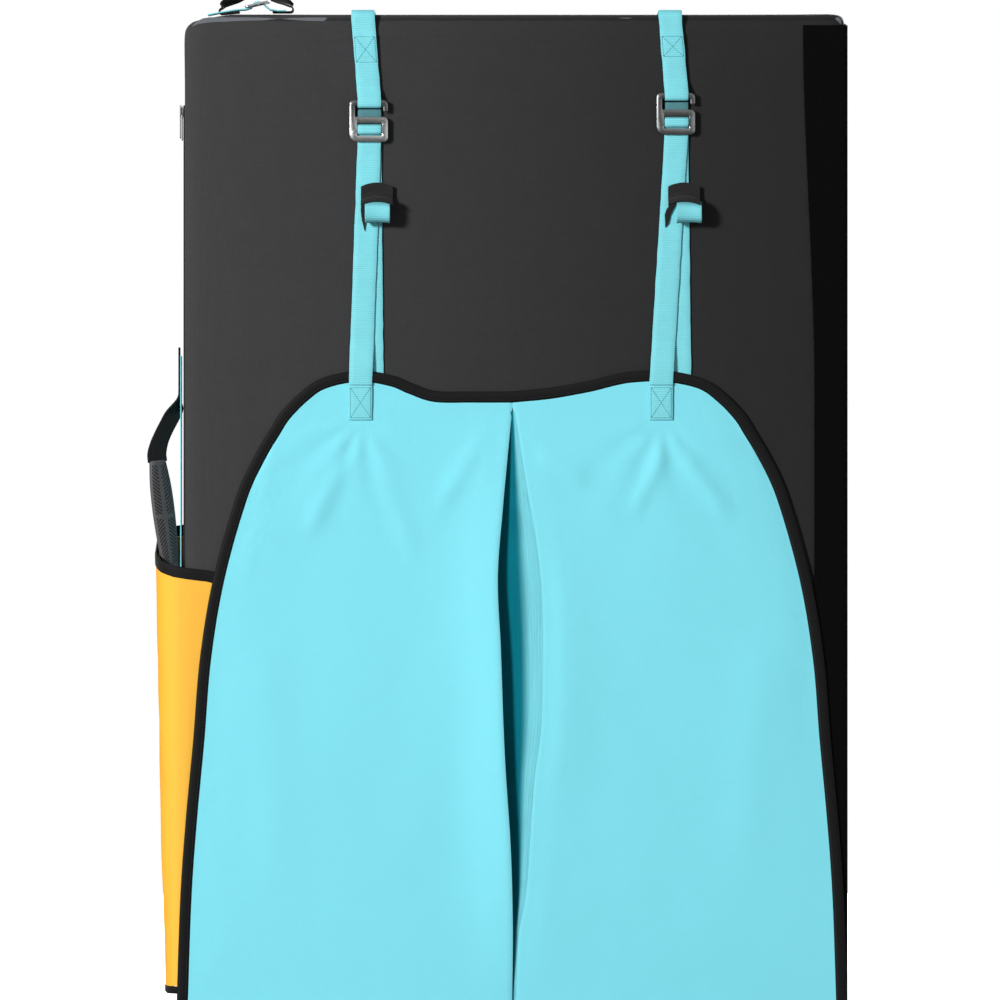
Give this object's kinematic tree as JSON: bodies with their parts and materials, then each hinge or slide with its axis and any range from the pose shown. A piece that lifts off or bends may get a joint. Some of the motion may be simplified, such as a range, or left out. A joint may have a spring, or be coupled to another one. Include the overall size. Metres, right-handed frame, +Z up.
{
  "type": "bouldering crash pad",
  "caption": "Two-part foam crash pad folded like a book for carrying, with a closing flap on hooked straps, side wing, handles and padded shoulder straps.",
  "frame": {"origin": "on the floor, under the middle of the folded pad, on the underside of the base panel", "axes": "+Z up the standing pad; -Y out of the face with the closing flap; +X towards the fold; the shoulder straps look to +Y"},
  "size_m": [0.7511, 0.324, 1.1129],
  "materials": {
    "cover_fabric": "charcoal woven polyester, matt",
    "black_webbing": "black woven webbing and tape",
    "turquoise_fabric": "turquoise woven polyester, matt",
    "yellow_fabric": "warm yellow woven polyester, matt",
    "open_foam": "open-cell foam",
    "closed_foam": "closed-cell foam",
    "brushed_aluminium": "brushed",
    "grey_rubber": "moulded dark grey, matt",
    "black_plastic": "moulded black, matt"
  },
  "bodies": {
    "back_half": {"back_cover": "cover_fabric", "back_zip": "black_webbing", "back_landing_foam": "closed_foam", "back_core_foam": "open_foam", "back_base_foam": "closed_foam", "hinge_fold": "cover_fabric", "base_panel": "turquoise_fabric", "closing_strap_anchor_left": "turquoise_fabric", "closing_strap_anchor_right": "turquoise_fabric", "shoulder_yoke": "black_webbing", "shoulder_webbing_left": "black_webbing", "shoulder_webbing_right": "black_webbing", "shoulder_anchor_left": "black_webbing", "shoulder_anchor_right": "black_webbing"},
    "front_half": {"front_cover": "cover_fabric", "front_zip": "black_webbing", "front_landing_foam": "closed_foam", "front_core_foam": "open_foam", "front_base_foam": "closed_foam", "joining_strip": "black_webbing", "side_handle_backing": "turquoise_fabric", "top_slider": "brushed_aluminium", "top_strap": "turquoise_fabric"},
    "flap": {"flap_left_panel": "turquoise_fabric", "flap_right_panel": "turquoise_fabric", "flap_pleat_underlay": "turquoise_fabric", "flap_binding": "black_webbing", "strap_tab_left": "turquoise_fabric", "strap_tab_right": "turquoise_fabric"},
    "wing": {"wing_panel": "yellow_fabric", "wing_top_binding": "black_webbing", "wing_hem_binding": "black_webbing"},
    "side_handle": {"side_handle_grip": "grey_rubber", "side_handle_upper_webbing": "black_webbing", "side_handle_lower_webbing": "black_webbing"},
    "top_handle": {"top_handle_webbing": "black_webbing", "top_handle_grip": "grey_rubber"},
    "back_zip_slider_body": {"back_zip_slider": "brushed_aluminium"},
    "front_zip_slider_body": {"front_zip_slider": "brushed_aluminium"},
    "strap_lower_left": {"closing_strap_lower_left": "turquoise_fabric", "strap_roll_left": "turquoise_fabric", "strap_keeper_left": "black_webbing"},
    "hook_left": {"hook_buckle_left": "brushed_aluminium"},
    "strap_top_left": {"closing_strap_top_left": "turquoise_fabric"},
    "strap_drop_left": {"closing_strap_drop_left": "turquoise_fabric"},
    "shoulder_left": {"shoulder_strap_left": "black_webbing", "shoulder_adjuster_left": "black_plastic"},
    "hip_left": {"hip_belt_left": "black_webbing", "hip_buckle_plug": "black_plastic"},
    "strap_lower_right": {"closing_strap_lower_right": "turquoise_fabric", "strap_roll_right": "turquoise_fabric", "strap_keeper_right": "black_webbing"},
    "hook_right": {"hook_buckle_right": "brushed_aluminium"},
    "strap_top_right": {"closing_strap_top_right": "turquoise_fabric"},
    "strap_drop_right": {"closing_strap_drop_right": "turquoise_fabric"},
    "shoulder_right": {"shoulder_strap_right": "black_webbing", "shoulder_adjuster_right": "black_plastic"},
    "hip_right": {"hip_belt_right": "black_webbing", "hip_buckle_socket": "black_plastic"}
  },
  "joints": [
    {"name": "main_fold", "type": "hinge", "parent": "back_half", "child": "front_half", "pos_m": [0.356, 0, 0], "axis": [0, 0, 1], "range_deg": [0, 180]},
    {"name": "flap_swing", "type": "hinge", "parent": "back_half", "child": "flap", "pos_m": [0, -0.1305, 0.0012], "axis": [1, 0, 0], "range_deg": [0, 180], "deforming": ["flap_left_panel", "flap_right_panel", "flap_binding", "flap_pleat_underlay", "strap_tab_left", "strap_tab_right"]},
    {"name": "wing_swing", "type": "hinge", "parent": "back_half", "child": "wing", "pos_m": [-0.3555, 0.095, 0], "axis": [0, 0, -1], "range_deg": [0, 90], "deforming": ["wing_panel", "wing_hem_binding", "wing_top_binding"]},
    {"name": "side_handle_swing", "type": "hinge", "parent": "front_half", "child": "side_handle", "pos_m": [-0.3575, -0.086, 0.53], "axis": [0, 0, 1], "range_deg": [-25, 25], "deforming": ["side_handle_upper_webbing", "side_handle_lower_webbing"]},
    {"name": "top_handle_fold", "type": "hinge", "parent": "front_half", "child": "top_handle", "pos_m": [-0.2765, -0.066, 1.0712], "axis": [-1, 0, 0], "range_deg": [0, 70], "deforming": ["top_handle_webbing"]},
    {"name": "back_zip_slide", "type": "slide", "parent": "back_half", "child": "back_zip_slider_body", "axis": [0, 0, -1], "range_m": [0, 0.85]},
    {"name": "front_zip_slide", "type": "slide", "parent": "front_half", "child": "front_zip_slider_body", "axis": [0, 0, -1], "range_m": [0, 0.85]},
    {"name": "strap_lower_left_flip", "type": "hinge", "parent": "flap", "child": "strap_lower_left", "pos_m": [-0.1642, -0.148, 0.68], "axis": [1, 0, 0], "range_deg": [0, 180], "deforming": ["closing_strap_lower_left"]},
    {"name": "hook_left_tilt", "type": "hinge", "parent": "strap_lower_left", "child": "hook_left", "pos_m": [-0.1546, -0.1323, 0.9274], "axis": [1, 0, 0], "range_deg": [0, 20]},
    {"name": "strap_top_left_swing", "type": "hinge", "parent": "back_half", "child": "strap_top_left", "pos_m": [-0.1615, 0.128, 1.06], "axis": [-1, 0, 0], "range_deg": [0, 252], "deforming": ["closing_strap_top_left"]},
    {"name": "strap_drop_left_swing", "type": "hinge", "parent": "strap_top_left", "child": "strap_drop_left", "pos_m": [-0.1615, -0.128, 1.06], "axis": [-1, 0, 0], "range_deg": [0, 90], "deforming": ["closing_strap_drop_left"]},
    {"name": "shoulder_left_swing", "type": "hinge", "parent": "back_half", "child": "shoulder_left", "pos_m": [-0.1, 0.1356, 0.845], "axis": [1, 0, 0], "range_deg": [0, 35], "deforming": ["shoulder_webbing_left"]},
    {"name": "hip_left_swing", "type": "hinge", "parent": "back_half", "child": "hip_left", "pos_m": [-0.19, 0.1282, 0.098], "axis": [0, 0, 1], "range_deg": [0, 100]},
    {"name": "strap_lower_right_flip", "type": "hinge", "parent": "flap", "child": "strap_lower_right", "pos_m": [0.1562, -0.148, 0.68], "axis": [1, 0, 0], "range_deg": [0, 180], "deforming": ["closing_strap_lower_right"]},
    {"name": "hook_right_tilt", "type": "hinge", "parent": "strap_lower_right", "child": "hook_right", "pos_m": [0.1727, -0.1323, 0.9351], "axis": [1, 0, 0], "range_deg": [0, 20]},
    {"name": "strap_top_right_swing", "type": "hinge", "parent": "back_half", "child": "strap_top_right", "pos_m": [0.166, 0.128, 1.06], "axis": [-1, 0, 0], "range_deg": [0, 252], "deforming": ["closing_strap_top_right"]},
    {"name": "strap_drop_right_swing", "type": "hinge", "parent": "strap_top_right", "child": "strap_drop_right", "pos_m": [0.166, -0.128, 1.06], "axis": [-1, 0, 0], "range_deg": [0, 90], "deforming": ["closing_strap_drop_right"]},
    {"name": "shoulder_right_swing", "type": "hinge", "parent": "back_half", "child": "shoulder_right", "pos_m": [0.1, 0.1356, 0.845], "axis": [1, 0, 0], "range_deg": [0, 35], "deforming": ["shoulder_webbing_right"]},
    {"name": "hip_right_swing", "type": "hinge", "parent": "back_half", "child": "hip_right", "pos_m": [0.19, 0.1282, 0.098], "axis": [0, 0, -1], "range_deg": [0, 100]}
  ],
  "couplings": [
    {"joint": "flap_swing", "follows": "main_fold", "ratio": 1},
    {"joint": "wing_swing", "follows": "main_fold", "ratio": 0.5},
    {"joint": "strap_top_left_swing", "follows": "main_fold", "ratio": 1.4},
    {"joint": "strap_drop_left_swing", "follows": "main_fold", "ratio": 0.5},
    {"joint": "strap_top_right_swing", "follows": "main_fold", "ratio": 1.4},
    {"joint": "strap_drop_right_swing", "follows": "main_fold", "ratio": 0.5}
  ]
}
